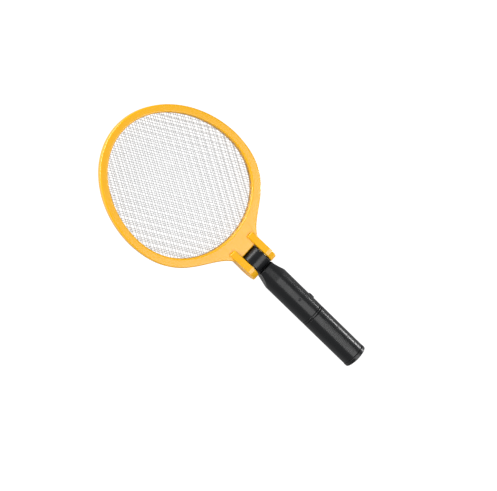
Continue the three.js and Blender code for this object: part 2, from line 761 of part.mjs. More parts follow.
// A coiled contact spring along the handle, from one distance to another.
const SPRING_WIRE = 0.45;
const SPRING_RADIUS = 3.6;

function contactSpring(x, near, far, turns) {
  const points = [];
  const steps = turns * 8;
  for (let i = 0; i <= steps; i++) {
    const angle = (2 * Math.PI * turns * i) / steps;
    const place = near + SPRING_WIRE + ((far - near - 2 * SPRING_WIRE) * i) / steps;
    const across = SPRING_RADIUS * Math.cos(angle);
    const up = SPRING_RADIUS * Math.sin(angle);
    points.push(new THREE.Vector3(x + across, -place, up));
  }
  const section = new THREE.Shape();
  section.absarc(0, 0, SPRING_WIRE, 0, 2 * Math.PI);
  const settings = {
    extrudePath: new THREE.CatmullRomCurve3(points),
    steps,
    curveSegments: 2,
    bevelEnabled: false,
  };
  return solidFrom(new THREE.ExtrudeGeometry(section, settings));
}

const BULKHEAD_START = 103.3;
const BULKHEAD_END = 105;
const CONTACT_THICKNESS = 0.5;
const CONTACT_HALF_WIDTH = 5;
const BRIDGE_PLACE = 167.4;
const CARRIER_START = 168.2;
const CARRIER_END = 191.4;
const CARRIER_RADIUS = 14.4;
const HUB_RADIUS = 5;
const SEAL_PLACE = 175;
const SEAL_RADIUS = 13.6;
const SEAL_WIRE = 0.8;

function contactPlate(x1, x2, place) {
  return block(
    [x1, -place - CONTACT_THICKNESS, -CONTACT_HALF_WIDTH],
    [x2, -place, CONTACT_HALF_WIDTH],
  );
}

function buildBatteries() {
  addPart("battery_1", cell(1), finish(0xb98a3c, 0.4, 0.4));
  addPart("battery_2", cell(-1), finish(0xb98a3c, 0.4, 0.4));
  const disc = rod("y", TUBE_BORE - GAP, -BULKHEAD_END, -BULKHEAD_START, [0, 0, 0], LARGE_ROUND);
  addPart("contact_bulkhead", disc, INSULATOR());
  const inner = CELL_OFFSET - CONTACT_HALF_WIDTH;
  const outer = CELL_OFFSET + CONTACT_HALF_WIDTH;
  const place = BULKHEAD_END + GAP;
  addPart("positive_contact", contactPlate(-outer, -inner, place), STEEL());
  addPart("negative_contact", contactPlate(inner, outer, place), STEEL());
  const springStart = place + CONTACT_THICKNESS + GAP;
  addPart("negative_spring", contactSpring(CELL_OFFSET, springStart, CELL_START - GAP, 1.5), STEEL());
}

// The keyed carrier slides in the tube and never turns, because its bridge joins the two cells.
function buildCarrier() {
  const groove = handleRing(SEAL_RADIUS - SEAL_WIRE - GAP, HANDLE_RADIUS, SEAL_PLACE - 1.1, SEAL_PLACE + 1.1);
  const skirtRoom = handleRing(CARRIER_RADIUS - 0.5, HANDLE_RADIUS, TUBE_END - 8, HANDLE_END);
  const body = rod("y", CARRIER_RADIUS, -CARRIER_END, -CARRIER_START, [0, 0, 0], LARGE_ROUND);
  const bore = rod("y", HUB_RADIUS + GAP, -CARRIER_END - 1, -CARRIER_START - 3);
  addPart("contact_carrier", cut(body, groove, skirtRoom, bore), INSULATOR());
  const outer = CELL_OFFSET + CONTACT_HALF_WIDTH;
  addPart("bridge_contact", contactPlate(-outer, outer, BRIDGE_PLACE), STEEL());
  const cellEnd = CELL_START + CELL_LENGTH + GAP;
  addPart("bridge_spring", contactSpring(-CELL_OFFSET, cellEnd, BRIDGE_PLACE - GAP, 3), STEEL());
  const sealGeometry = new THREE.TorusGeometry(SEAL_RADIUS, SEAL_WIRE, 5, LARGE_ROUND);
  sealGeometry.rotateX(Math.PI / 2);
  sealGeometry.translate(0, -SEAL_PLACE, 0);
  addPart("cap_seal", solidFrom(sealGeometry), RUBBER());
}

function buildEndCap() {
  const capStart = TUBE_END + 0.4;
  const skirtTop = TUBE_END - 7.4;
  const skirtInner = CARRIER_RADIUS;
  const profile = [
    [0, -HANDLE_END],
    [CAP_RADIUS - CAP_EDGE, -HANDLE_END],
    [CAP_RADIUS - CAP_EDGE * 0.3, -HANDLE_END + CAP_EDGE * 0.3],
    [CAP_RADIUS, -HANDLE_END + CAP_EDGE],
    [CAP_RADIUS, -capStart - 0.4],
    [CAP_RADIUS - 0.4, -capStart],
    [SOCKET_BORE, -capStart],
    [SOCKET_BORE, -skirtTop],
    [skirtInner, -skirtTop],
    [skirtInner, -capStart],
    [HUB_RADIUS, -capStart],
    [HUB_RADIUS, -CARRIER_START - 4],
    [0, -CARRIER_START - 4],
  ];
  addPart("end_cap", turned("y", profile, [0, 0, 0], LARGE_ROUND), BLACK());
}

// ---------------------------------------------------------------- assembly

buildHeadCasing();
buildFrameScrews();
buildGrids();
buildHeadLeads();
buildHingePins();
buildSlipRings();
buildHousing();
buildCircuit();
buildButton();
buildHandleLeads();
buildGrip();
buildBatteries();
buildCarrier();
buildEndCap();

const headEnd = OPENING_CENTRE + OPENING_FAR_REACH + RIM_WIDTH;
model.position.set(0, (HANDLE_END - headEnd) / 2, CAP_RADIUS);

export default model;
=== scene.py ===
"""Looks of the electric fly swatter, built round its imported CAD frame.

Shapes are written in millimetres about the hinge axis, as the CAD source has them, with +Y towards
the head's far end and +Z out of its face. solid() puts them in the frame, in metres.
"""

import json
from math import ceil, cos, hypot, pi, radians, sin, tan

import bmesh
import bpy
from mathutils import Matrix, Vector


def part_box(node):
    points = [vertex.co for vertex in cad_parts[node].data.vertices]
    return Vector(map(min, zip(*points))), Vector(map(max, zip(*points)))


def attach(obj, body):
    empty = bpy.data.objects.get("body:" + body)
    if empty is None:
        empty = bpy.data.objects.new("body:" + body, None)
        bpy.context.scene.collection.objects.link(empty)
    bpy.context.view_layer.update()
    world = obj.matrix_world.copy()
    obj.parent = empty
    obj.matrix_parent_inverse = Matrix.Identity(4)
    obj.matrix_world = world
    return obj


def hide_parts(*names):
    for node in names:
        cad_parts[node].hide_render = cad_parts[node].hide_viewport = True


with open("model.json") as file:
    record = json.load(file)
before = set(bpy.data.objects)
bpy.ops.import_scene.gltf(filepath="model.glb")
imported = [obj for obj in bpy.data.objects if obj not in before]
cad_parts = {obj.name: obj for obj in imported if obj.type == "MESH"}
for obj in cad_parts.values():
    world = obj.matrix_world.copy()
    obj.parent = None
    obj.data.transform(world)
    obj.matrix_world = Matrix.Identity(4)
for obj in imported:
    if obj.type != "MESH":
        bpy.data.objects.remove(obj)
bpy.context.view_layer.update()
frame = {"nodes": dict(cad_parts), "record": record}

MM = 0.001

# ---------------------------------------------------------------- sizes
# The bodies have the CAD's sizes. The grids' fine wires, the lips that hide their rims, the ribs, the
# round edges and the screws' recesses are drawn here only.


def middle(node):
    low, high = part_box(node)
    return (low + high) / 2


HINGE = middle("slip_ring_right")
HINGE.x = 0

OPENING_HALF_WIDTH = 93.7
OPENING_FAR_REACH = 107.8
OPENING_NEAR_REACH = 99
OPENING_SKEW = 0.062
OPENING_FULLNESS = 0.021
OPENING_CENTRE = 147
RIM_WIDTH = 11
HALF_THICKNESS = 9
RIM_FILLET = 2.2
RIM_STEPS = 192
FLARE_START = radians(-10)
FLARE_END_ANGLE = radians(67)
FLARE_REACH = 78
NECK_REACH = 37
SEAT_MARGIN = 8.9
SEAT_HALF_DEPTH = 4.2
PARTING = 0.15  # half of the gap between the front and rear halves

# lips on the casing and the spacers hide the grids' rims and leave a slit for the wires
LIP_DEPTH = 3.75
LIP_WIDTH = 1.1
LIP_CHAMFER = 0.2

PLATE_START = 17.3
PLATE_INSET = 0.9  # of the plate's corners from the ears' outer faces
EDGE_STEPS = 8

EAR_GAP = 25
EAR_THICKNESS = 10
EAR_RADIUS = 17
EAR_REACH = 32.8
EAR_END_HEIGHT = 13.6
EAR_FILLET = 1.3
EAR_CORNER = 2.2
COUNTERBORE_RADIUS = 6.2
COUNTERBORE_DEPTH = 5.6
BOLT_BORE = 3.3
EAR_CAP_THICKNESS = 1.5

GRID_SPACING = 3
GRID_MARGIN = 3.6
GRID_RIM_WIDTH = 2.2
GRID_RIM_THICKNESS = 1.6
GRID_LAYERS = [  # name, height, distance between wires, shift in such distances
    ("front", GRID_SPACING, 10.6, 0),
    ("inner", 0, 10.7, 0.33),
    ("rear", -GRID_SPACING, 10.5, 0.7),
]
WIRE_ANGLE = radians(60)
WIRE_RADIUS = 0.29
WIRE_LIFT = 0.25
WIRE_SIDES = 8
SHORTEST_WIRE = 8
SLIT_HALF_HEIGHT = 0.75
SPACER_THICKNESS = 0.8

SCREW_MARGIN = 6.9
SCREW_ANGLES = [radians(a) for a in (-30, 20, 65, 115, 160, 210)]
SCREW_SEAT = -5.4
SCREW_HEAD_RADIUS = 2
SCREW_HEAD_HEIGHT = 1.8
SCREW_RADIUS = 1.1
SCREW_LENGTH = 12.8
SCREW_TURN = 0.7
HOUSING_SCREWS = [29.5, 45.5, 98]
HOUSING_SCREW_SEAT = -8.5
HOUSING_HEAD_RADIUS = 2.6
HOUSING_SCREW_LENGTH = 18.8
HOUSING_BOSS_RADIUS = 3.6
CROSS_LENGTH = 0.62  # of the recess, of the head's radius
CROSS_WIDTH = 0.16

BARREL_RADIUS = 16.5
BARREL_HALF_WIDTH = 11.3
HANDLE_RADIUS = 18
NECK_START = 16.2
NECK_RADIUS = 16.6
NECK_HALF_WIDTH = 11.7
NECK_STRAIGHT_END = 19.5
NECK_BULGE = 2.2  # of the curve that pares the neck, at its middle point
SHOULDER = 38.6
WEB_HALF_HEIGHT = 7.5
HOUSING_END = 108.7
COLLAR_LENGTH = 3.2
RING_FILLET = 0.9  # of the edges on both sides of each ring groove
TUBE_START = 112.5
TUBE_END = 192
TUBE_SOCKET = 8
HANDLE_END = 198.4
CAP_RADIUS = 18.3
CAP_CLEARANCE = 0.4
CAP_SKIRT = 7.4
CAP_HUB_CLEARANCE = 4
HOUSING_BORE = 15.8
SOCKET_BORE = 16.3
SPIGOT_RADIUS = 16
SPIGOT_START = 102.6
TUBE_BORE = 14.9
CAVITY_START = 37
CARRIER_START = 168.2
CARRIER_RADIUS = 14.4
HUB_RADIUS = 5
BUTTON_CENTRE = 92
BUTTON_RADIUS = 5
BUTTON_FACE = 19.5
FLANGE_BACK = 12.2
FLANGE_FRONT = 13.8
FLANGE_RADIUS = 6.2
LIGHT_CENTRE = 79.8
LIGHT_RADIUS = 1.7
LIGHT_FOOT = -3.5

RIB_COUNT = 25
RIB_START = 125
RIB_PITCH = 2.5
RIB_LENGTH = 1.1
RIB_HALF_TURN = radians(17)
RIB_HEIGHT = 0.3
RIB_ROOT = 0.4  # sunk in the grip's wall
RIB_SLOPE = 0.25
RIB_TAPER = 8

GAP = 0.3
SMALL_ROUND = 32
ROUND = 64
HANDLE_ROUND = 128

# ---------------------------------------------------------------- mesh tools


def solid(name, points, faces):
    """A mesh object from points in millimetres about the hinge, its faces turned outwards."""
    mesh = bpy.data.meshes.new(name)
    mesh.from_pydata([HINGE + Vector(p) * MM for p in points], [], faces)
    piece = bpy.data.objects.new(name, mesh)
    bpy.context.scene.collection.objects.link(piece)
    clean(piece)
    return piece


def clean(piece):
    """Merges points that meet, and turns every face outwards."""
    bm = bmesh.new()
    bm.from_mesh(piece.data)
    bmesh.ops.remove_doubles(bm, verts=bm.verts, dist=1e-7)
    bmesh.ops.dissolve_degenerate(bm, edges=bm.edges, dist=1e-8)
    bmesh.ops.recalc_face_normals(bm, faces=bm.faces)
    bm.to_mesh(piece.data)
    bm.free()


def loft(name, loops, closed=False):
    """Joins loops of equally many points. `closed` joins the last to the first, or else both get a cap."""
    count = len(loops[0])
    points = [p for loop in loops for p in loop]
    faces = []
    for i in range(len(loops) if closed else len(loops) - 1):
        a = i * count
        b = (i + 1) % len(loops) * count
        faces += [(a + j, a + (j + 1) % count, b + (j + 1) % count, b + j) for j in range(count)]
    if not closed:
        faces.append(tuple(range(count)))
        faces.append(tuple(range(len(points) - count, len(points))))
    return solid(name, points, faces)


def fillet(corners):
    """Rounds a line's corners: each is (a, b) or (a, b, radius)."""
    steps = 5
    points = []
    for i, corner in enumerate(corners):
        here = Vector(corner[:2])
        if len(corner) < 3:
            points.append(here)
            continue
        before = Vector(corners[i - 1][:2]) - here
        after = Vector(corners[(i + 1) % len(corners)][:2]) - here
        reach = min(corner[2], before.length / 2, after.length / 2)
        start = here + before.normalized() * reach
        end = here + after.normalized() * reach
        for k in range(steps + 1):
            t = k / steps
            points.append(start * (1 - t) ** 2 + here * 2 * t * (1 - t) + end * t ** 2)
    return points


AXES = {
    "x": lambda r, a, along: (along, r * cos(a), r * sin(a)),
    "y": lambda r, a, along: (r * sin(a), along, r * cos(a)),
    "z": lambda r, a, along: (r * cos(a), r * sin(a), along),
}


def turned(name, axis, profile, at=(0, 0, 0), sides=ROUND, closed=False):
    """A piece turned about an axis. Profile corners are (radius, along) or (radius, along, fillet)."""
    loops = []
    for radius, along in fillet(profile):
        ring = [AXES[axis](radius, 2 * pi * i / sides, along) for i in range(sides)]
        loops.append([tuple(a + b for a, b in zip(p, at)) for p in ring])
    return loft(name, loops, closed)


def rod(axis, radius, start, end, at=(0, 0, 0), sides=ROUND):
    return turned("rod", axis, [(0, start), (radius, start), (radius, end), (0, end)], at, sides)


def block(low, high):
    xs, ys, zs = zip(low, high)
    base = [(xs[0], ys[0]), (xs[1], ys[0]), (xs[1], ys[1]), (xs[0], ys[1])]
    return loft("block", [[(x, y, z) for x, y in base] for z in zs])


def inset(outline, distance):
    """Moves a closed flat outline inwards along its own normals."""
    area = sum(a[0] * b[1] - b[0] * a[1] for a, b in zip(outline, outline[1:] + outline[:1]))
    turn = 1 if area > 0 else -1
    moved = []
    for i, (x, y) in enumerate(outline):
        ax, ay = outline[i - 1]
        bx, by = outline[(i + 1) % len(outline)]
        run = hypot(bx - ax, by - ay)
        moved.append((x - turn * (by - ay) / run * distance, y + turn * (bx - ax) / run * distance))
    return moved


def rounded_slab(name, outline, start, end, edge):
    """An outline in the YZ plane made thick along X, with round edges."""
    steps = 6
    levels = []
    for k in range(steps + 1):
        angle = pi / 2 * k / steps
        levels.append((edge * (1 - sin(angle)), start + edge * (1 - cos(angle))))
    levels += [(margin, end - (level - start)) for margin, level in reversed(levels)]
    loops = []
    for margin, level in levels:
        loops.append([(level, y, z) for y, z in inset(outline, margin)])
    return loft(name, loops)


def combine(piece, operation, *tools):
    """Joins, cuts or trims the piece with each tool in turn, and deletes the tools."""
    for tool in tools:
        modifier = piece.modifiers.new(operation, "BOOLEAN")
        modifier.operation = operation
        modifier.solver = "MANIFOLD"
        modifier.object = tool
        settle(piece)
        bpy.data.objects.remove(tool)
    return piece


def settle(piece):
    """Applies the piece's modifiers."""
    graph = bpy.context.evaluated_depsgraph_get()
    mesh = bpy.data.meshes.new_from_object(piece.evaluated_get(graph))
    old = piece.data
    piece.modifiers.clear()
    piece.data = mesh
    bpy.data.meshes.remove(old)


def copy_of(piece, name):
    twin = piece.copy()
    twin.data = piece.data.copy()
    twin.name = name
    bpy.context.scene.collection.objects.link(twin)
    return twin


def soften(piece, crease=32):
    """Shades the piece smoothly, apart from edges of more than `crease` degrees."""
    bm = bmesh.new()
    bm.from_mesh(piece.data)
    for face in bm.faces:
        face.smooth = True
    for edge in bm.edges:
        edge.smooth = len(edge.link_faces) == 2 and edge.calc_face_angle(0) < radians(crease)
    bm.to_mesh(piece.data)
    bm.free()
    normals = piece.modifiers.new("normals", "WEIGHTED_NORMAL")
    normals.keep_sharp = True
    return piece


def place(piece, name, body, slot, *nodes):
    """Gives a finished piece its name, body and material, and hides the CAD nodes that it stands for."""
    piece.name = name
    piece.data.name = name
    piece.data.materials.clear()
    piece.data.materials.append(MATERIALS[slot])
    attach(piece, body)
    if nodes:
        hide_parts(*nodes)
    return piece


# ---------------------------------------------------------------- materials


class Nodes:
    """A short way to write a material's nodes."""

    def __init__(self, name, **settings):
        self.material = bpy.data.materials.new(name)
        self.material.use_nodes = True
        self.tree = self.material.node_tree
        self.shader = self.tree.nodes["Principled BSDF"]
        for socket, value in settings.items():
            self.shader.inputs[socket.replace("_", " ")].default_value = value
        self.place = self.tree.nodes.new("ShaderNodeTexCoord").outputs["Object"]

    def add(self, kind, **inputs):
        node = self.tree.nodes.new("ShaderNode" + kind)
        for socket, value in inputs.items():
            self.put(node.inputs[socket.replace("_", " ")], value)
        return node

    def put(self, socket, value):
        if isinstance(value, bpy.types.NodeSocket):
            self.tree.links.new(value, socket)
        else:
            socket.default_value = value

    def noise(self, scale, detail=3, stretch=(1, 1, 1)):
        mapping = self.add("Mapping", Vector=self.place, Scale=stretch)
        return self.add("TexNoise", Vector=mapping.outputs[0], Scale=scale, Detail=detail).outputs[0]

    def ramp(self, value, low, high):
        """Mixes two colours by a value, or spreads a noise's middle half between two numbers."""
        if isinstance(low, tuple):
            node = self.add("Mix")
            node.data_type = "RGBA"
            first, second = node.inputs[6:8]  # the colours: A and B have other sockets for numbers
            self.put(node.inputs[0], value)
            self.put(first, low)
            self.put(second, high)
            return node.outputs[2]
        node = self.add("MapRange", Value=value, From_Min=0.25, From_Max=0.75, To_Min=low, To_Max=high)
        return node.outputs[0]

    def bump(self, height, distance):
        node = self.add("Bump", Height=height, Distance=distance * MM, Strength=1.0)
        self.put(self.shader.inputs["Normal"], node.outputs[0])


def shade(colour, factor):
    return tuple(min(1, c * factor) for c in colour[:3]) + (1,)


def moulded(name, colour, roughness, grain=0.006, specular=0.5, variation=0.04):
    """Injection-moulded plastic: faint flow marks in the colour, a fine grain and a little polish wear."""
    nodes = Nodes(name, Metallic=0.0, IOR=1.49)
    nodes.shader.inputs["Specular IOR Level"].default_value = specular
    flow = nodes.noise(14, 4, (1, 0.35, 1))
    dark = shade(colour, 1 - variation)
    light = shade(colour, 1 + variation)
    nodes.put(nodes.shader.inputs["Base Color"], nodes.ramp(nodes.ramp(flow, 0.0, 1.0), dark, light))
    wear = nodes.noise(90, 5)
    nodes.put(nodes.shader.inputs["Roughness"], nodes.ramp(wear, roughness * 0.85, roughness * 1.2))
    nodes.bump(nodes.noise(1800, 2), grain)
    return nodes


def metal(name, colour, roughness, stretch=(1, 1, 1), grain=0.004):
    """Drawn or rolled metal: lines along the working direction, with duller patches."""
    nodes = Nodes(name, Metallic=1.0)
    lines = nodes.noise(900, 3, stretch)
    patches = nodes.noise(60, 4)
    base = nodes.ramp(nodes.ramp(patches, 0.0, 1.0), shade(colour, 0.86), colour)
    nodes.put(nodes.shader.inputs["Base Color"], base)
    nodes.put(nodes.shader.inputs["Roughness"], nodes.ramp(lines, roughness * 0.7, roughness * 1.3))
    nodes.bump(lines, grain)
    return nodes


def fabric_tape(name, colour):
    """Overlapping turns of winding tape."""
    nodes = moulded(name, colour, 0.45)
    wave = nodes.add("TexWave", Vector=nodes.place, Scale=220.0, Distortion=0.6)
    nodes.bump(wave.outputs[1], 0.05)
    return nodes


ORANGE = (0.87, 0.43, 0.002, 1)
BLACK = (0.012, 0.0125, 0.0135, 1)
BUTTON_BLACK = (0.02, 0.02, 0.022, 1)


def make_materials():
    made = {
        "orange_plastic": moulded("orange_plastic", ORANGE, 0.22, 0.003, 0.68, 0.02),
        "black_plastic": moulded("black_plastic", BLACK, 0.25, 0.0002, 0.31, 0.1),
        "button_plastic": moulded("button_plastic", BUTTON_BLACK, 0.42, 0.01),
        "white_plastic": moulded("white_plastic", (0.72, 0.69, 0.6, 1), 0.5),
        "grid_wire": metal("grid_wire", (0.5, 0.5, 0.51, 1), 0.5, grain=0.002),
        "plated_steel": metal("plated_steel", (0.6, 0.6, 0.58, 1), 0.32),
        "brass": metal("brass", (0.72, 0.52, 0.2, 1), 0.3, (1, 0.05, 1)),
        "red_insulation": moulded("red_insulation", (0.45, 0.02, 0.015, 1), 0.5),
        "black_insulation": moulded("black_insulation", (0.02, 0.02, 0.02, 1), 0.5),
        "board": moulded("board", (0.03, 0.16, 0.05, 1), 0.35, 0.02, 0.5, 0.2),
        "yellow_tape": fabric_tape("yellow_tape", (0.7, 0.45, 0.04, 1)),
        "capacitor_resin": moulded("capacitor_resin", (0.36, 0.07, 0.02, 1), 0.2),
        "cell_sleeve": moulded("cell_sleeve", (0.4, 0.22, 0.05, 1), 0.28),
        "lens": moulded("lens", (0.02, 0.02, 0.024, 1), 0.1, 0.001),
        "rubber": moulded("rubber", (0.015, 0.015, 0.015, 1), 0.7, 0.03),
    }
    return {slot: nodes.material for slot, nodes in made.items()}


MATERIALS = make_materials()


def finish_cad_nodes():
    """Every CAD node gets its slot's material, shown or not."""
    for part in frame["record"]["subparts"]:
        node = frame["nodes"][part["node"]]
        node.data.materials.clear()
        node.data.materials.append(MATERIALS[part["material_slot"]])


# ---------------------------------------------------------------- head


def oval_point(angle, margin):
    """A point on the oval opening moved outwards by `margin`, as the CAD has it."""
    s = sin(angle)
    c = cos(angle)
    widening = 1 - OPENING_SKEW * s + OPENING_FULLNESS * s * s
    slope_x = OPENING_HALF_WIDTH * (c * (2 * OPENING_FULLNESS * s - OPENING_SKEW) * c - s * widening)
    reach = OPENING_NEAR_REACH if s < 0 else OPENING_FAR_REACH
    slope_y = reach * c
    run = hypot(slope_x, slope_y)
    x = OPENING_HALF_WIDTH * c * widening + margin * slope_y / run
    y = OPENING_CENTRE + reach * s - margin * slope_x / run
    return x, y


def bezier(a, b, c, d, t):
    u = 1 - t
    return tuple(
        a[i] * u ** 3 + 3 * b[i] * u * u * t + 3 * c[i] * u * t * t + d[i] * t ** 3 for i in (0, 1)
    )


def head_outline():
    """(outline point, angle of the opening's point next to it), round the rim and the neck plate."""
    pairs = []
    for i in range(RIM_STEPS + 1):
        angle = FLARE_START + (pi - 2 * FLARE_START) * i / RIM_STEPS
        pairs.append((oval_point(angle, RIM_WIDTH), angle))
    corner = EAR_GAP / 2 + EAR_THICKNESS - PLATE_INSET
    last = pairs[-1][0]
    just_before = 0.05
    before = oval_point(pi - FLARE_START - just_before, RIM_WIDTH)
    reach = FLARE_REACH / hypot(last[0] - before[0], last[1] - before[1])
    leave = (last[0] + (last[0] - before[0]) * reach, last[1] + (last[1] - before[1]) * reach)
    rise = NECK_REACH * sin(FLARE_END_ANGLE)
    spread = NECK_REACH * cos(FLARE_END_ANGLE)
    arrive = (-corner - spread, PLATE_START + rise)
    steps = 72
    plate_turn = radians(16)  # of the opening's angle, from the ears' corner to the middle
    left_angle = pi - FLARE_START
    span = 3 * pi / 2 - plate_turn - left_angle
    left = []
    for i in range(1, steps + 1):
        point = bezier(last, leave, arrive, (-corner, PLATE_START), i / steps)
        left.append((point, left_angle + span * i / steps))
    across = 12
    middle_run = []
    for i in range(1, across):
        t = i / across
        point = (corner * (2 * t - 1), PLATE_START)
        middle_run.append((point, 3 * pi / 2 + plate_turn * (2 * t - 1)))
    right = [((-x, y), 3 * pi - angle) for (x, y), angle in reversed(left)]
    return pairs + left + middle_run + right


def frame_half(name, side):
    """One half of the head's casing, for z above 0 when `side` is 1."""
    pairs = head_outline()
    outline = [point for point, _ in pairs]
    angles = [angle for _, angle in pairs]

    def ring(points, height):
        return [(x, y, side * height) for x, y in points]

    def opening(margin):
        return [oval_point(angle, margin) for angle in angles]

    edge = []
    for k in range(EDGE_STEPS + 1):
        angle = pi / 2 * k / EDGE_STEPS
        edge.append((RIM_FILLET * (1 - cos(angle)), HALF_THICKNESS - RIM_FILLET * (1 - sin(angle))))
    loops = [ring(outline, PARTING)]
    loops += [ring(inset(outline, margin), height) for margin, height in edge]
    loops += [ring(opening(margin), height) for margin, height in reversed(edge)]
    loops += [
        ring(opening(0), LIP_DEPTH + LIP_CHAMFER),
        ring(opening(LIP_CHAMFER), LIP_DEPTH),
        ring(opening(LIP_WIDTH), LIP_DEPTH),
        ring(opening(LIP_WIDTH), SEAT_HALF_DEPTH),
        ring(opening(SEAT_MARGIN), SEAT_HALF_DEPTH),
        ring(opening(SEAT_MARGIN), PARTING),
    ]
    shell = loft(name, loops, closed=True)
    for low in (EAR_GAP / 2, -EAR_GAP / 2 - EAR_THICKNESS):
        ear = rounded_slab("ear", ear_outline(), low, low + EAR_THICKNESS, EAR_FILLET)
        far = 2 * EAR_REACH
        bottom, top = sorted((side * PARTING, side * far))
        combine(ear, "INTERSECT", block((-far, -far, bottom), (far, far, top)))
        combine(shell, "UNION", ear)
    outer = EAR_GAP / 2 + EAR_THICKNESS
    combine(shell, "DIFFERENCE", rod("x", BOLT_BORE, -outer - 1, outer + 1))
    for x in (outer - COUNTERBORE_DEPTH, -outer - 1):
        combine(shell, "DIFFERENCE", rod("x", COUNTERBORE_RADIUS, x, x + COUNTERBORE_DEPTH + 1))
    if side < 0:
        for angle in SCREW_ANGLES:
            x, y = oval_point(angle, SCREW_MARGIN)
            radius = SCREW_HEAD_RADIUS + GAP
            well = rod("z", radius, -HALF_THICKNESS - 1, SCREW_SEAT, (x, y, 0), SMALL_ROUND)
            combine(shell, "DIFFERENCE", well)
    return shell


def ear_outline():
    """An ear's side view, as (y, z): round about the hinge, then flats that fall towards the head."""
    count = 48
    points = []
    for i in range(count + 1):
        angle = pi / 2 + pi * i / count
        points.append((EAR_RADIUS * cos(angle), EAR_RADIUS * sin(angle)))
    end = [
        (0, -EAR_RADIUS),
        (EAR_REACH, -EAR_END_HEIGHT, EAR_CORNER),
        (EAR_REACH, EAR_END_HEIGHT, EAR_CORNER),
        (0, EAR_RADIUS),
    ]
    return points + [tuple(point) for point in fillet(end)[1:-1]]


def build_frames():
    for name, side, node in (("front_shell", 1, "front_frame"), ("rear_shell", -1, "rear_frame")):
        shell = soften(frame_half(name, side), 30)
        place(shell, name, "head", "orange_plastic", node)


def chord(offset, lean, margin):
    """Where a wire crosses the oval moved out by `margin`: its two ends, as (x, y)."""
    steps = 720
    direction = Vector((cos(lean * WIRE_ANGLE), sin(lean * WIRE_ANGLE)))
    normal = Vector((-direction.y, direction.x))
    start = Vector((offset, OPENING_CENTRE))
    ends = []
    points = [Vector(oval_point(2 * pi * i / steps, margin)) for i in range(steps)]
    for a, b in zip(points, points[1:] + points[:1]):
        side_a = (a - start).dot(normal)
        side_b = (b - start).dot(normal)
        if (side_a < 0) != (side_b < 0):
            ends.append(a + (b - a) * (side_a / (side_a - side_b)))
    return ends if len(ends) == 2 else None


def wire(a, b, level):
    """The points and faces of one straight wire between two (x, y) ends."""
    along = (b - a).normalized()
    points = []
    for end in (a, b):
        for k in range(WIRE_SIDES):
            angle = 2 * pi * k / WIRE_SIDES
            out = WIRE_RADIUS * cos(angle)
            up = WIRE_RADIUS * sin(angle)
            points.append((end.x - along.y * out, end.y + along.x * out, level + up))
    faces = []
    for k in range(WIRE_SIDES):
        n = (k + 1) % WIRE_SIDES
        faces.append((k, n, WIRE_SIDES + n, WIRE_SIDES + k))
    faces.append(tuple(range(WIRE_SIDES)))
    faces.append(tuple(range(WIRE_SIDES, 2 * WIRE_SIDES)))
    return points, faces


def oval_ring(section, height):
    """The points and faces of a ring round the opening, from its section's (margin, height) corners."""
    points = []
    for margin, level in section:
        for i in range(RIM_STEPS):
            points.append((*oval_point(2 * pi * i / RIM_STEPS, margin), height + level))
    faces = []
    for corner in range(len(section)):
        a = corner * RIM_STEPS
        b = (corner + 1) % len(section) * RIM_STEPS
        for i in range(RIM_STEPS):
            n = (i + 1) % RIM_STEPS
            faces.append((a + i, a + n, b + n, b + i))
    return points, faces


def grid(name, height, pitch, shift):
    """A rim and two sets of leaning wires that end in it."""
    pieces = []
    reach = OPENING_HALF_WIDTH + OPENING_FAR_REACH / tan(WIRE_ANGLE) + 20
    count = ceil(reach / pitch)
    for lean in (1, -1):
        for i in range(-count, count + 1):
            ends = chord((i + shift) * pitch, lean, GRID_MARGIN - GRID_RIM_WIDTH / 2)
            if ends and (ends[1] - ends[0]).length >= SHORTEST_WIRE:
                pieces.append(wire(*ends, height + lean * WIRE_LIFT))
    half = GRID_RIM_THICKNESS / 2
    inner = GRID_MARGIN - GRID_RIM_WIDTH
    section = [(inner, -half), (GRID_MARGIN, -half), (GRID_MARGIN, half), (inner, half)]
    pieces.append(oval_ring(section, height))
    points = []
    faces = []
    for piece_points, piece_faces in pieces:
        first = len(points)
        points += piece_points
        faces += [tuple(first + index for index in face) for face in piece_faces]
    return solid(name, points, faces)


def build_grids():
    for label, height, pitch, shift in GRID_LAYERS:
        piece = soften(grid(label + "_mesh", height, pitch, shift), 50)
        place(piece, label + "_mesh", "head", "grid_wire", label + "_grid")


def spacer(name, height):
    """The ring between two grids' rims, with a lip that stands level with the opening's wall."""
    half = SPACER_THICKNESS / 2
    lip = GRID_SPACING / 2 - SLIT_HALF_HEIGHT
    near = 0.1
    section = [
        (near, LIP_CHAMFER - lip),
        (near + LIP_CHAMFER, -lip),
        (LIP_WIDTH, -lip),
        (LIP_WIDTH, -half),
        (GRID_MARGIN, -half),
        (GRID_MARGIN, half),
        (LIP_WIDTH, half),
        (LIP_WIDTH, lip),
        (near + LIP_CHAMFER, lip),
        (near, lip - LIP_CHAMFER),
    ]
    return solid(name, *oval_ring(section, height))


def build_spacers():
    for label, height in (("front", GRID_SPACING / 2), ("rear", -GRID_SPACING / 2)):
        piece = soften(spacer("spacer", height), 40)
        place(piece, label + "_spacer_ring", "head", "orange_plastic", label + "_spacer")


def build_ear_caps():
    outer = EAR_GAP / 2 + EAR_THICKNESS
    face = outer - GAP
    radius = COUNTERBORE_RADIUS - GAP
    back = face - EAR_CAP_THICKNESS
    section = [(0, back), (radius, back), (radius, face, 0.8), (0, face)]
    for side, label in ((1, "right"), (-1, "left")):
        profile = [(r, side * x, *rest) for r, x, *rest in section]
        cap = turned("cap", "x", profile, sides=48)
        place(soften(cap), "ear_plug_" + label, "head", "orange_plastic", "ear_cap_" + label)


# ---------------------------------------------------------------- screws


